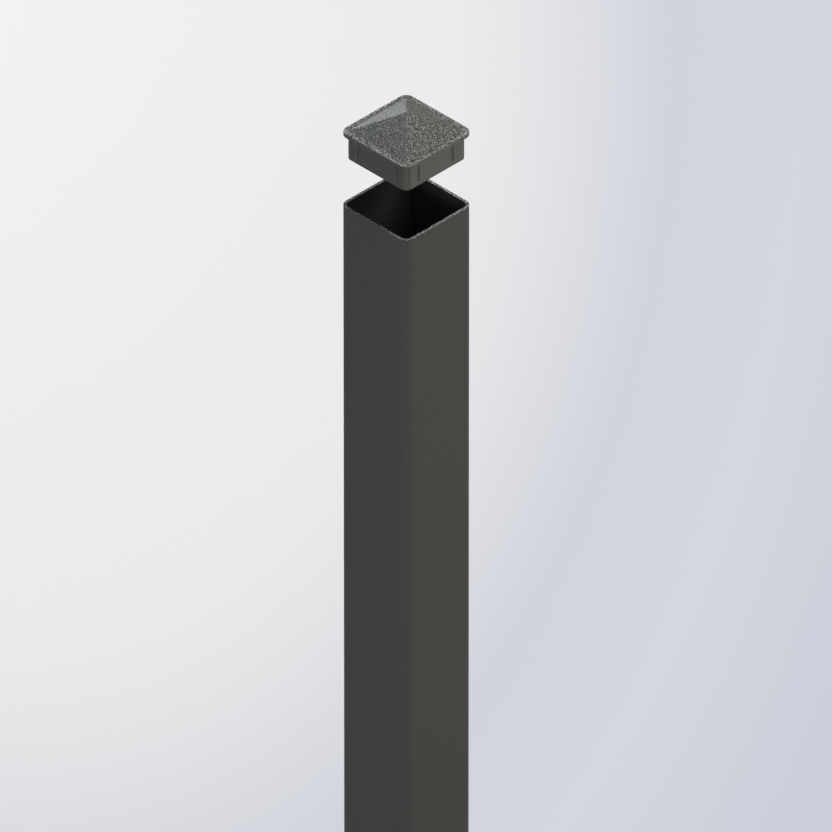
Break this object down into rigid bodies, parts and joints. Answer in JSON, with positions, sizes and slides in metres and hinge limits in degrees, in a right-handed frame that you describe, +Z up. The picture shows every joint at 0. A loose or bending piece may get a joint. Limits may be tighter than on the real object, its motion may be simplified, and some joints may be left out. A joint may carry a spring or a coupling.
{
  "type": "gate post",
  "caption": "Square hollow steel gate post with rounded corners, and a push-in pyramid cap with a ribbed spigot, drawn up off the open end.",
  "frame": {"origin": "middle of the tube's foot, on the plane of its cut lower end", "axes": "+Z up the post's axis towards the cap; +X and +Y square to the tube's sides. The cap's crush ribs stand 19 mm either side of the middle on the +X and -X sides, and 21.5 mm on the +Y and -Y sides."},
  "size_m": [0.075, 0.075, 1.5882],
  "materials": {
    "post_coat": "matte",
    "cap_coat": "matte"
  },
  "bodies": {
    "post": {"post_tube": "post_coat"},
    "cap": {"post_cap": "cap_coat"}
  },
  "joints": [
    {"name": "cap_slide", "type": "slide", "parent": "post", "child": "cap", "axis": [0, 0, 1], "range_m": [-0.067, 0]}
  ]
}
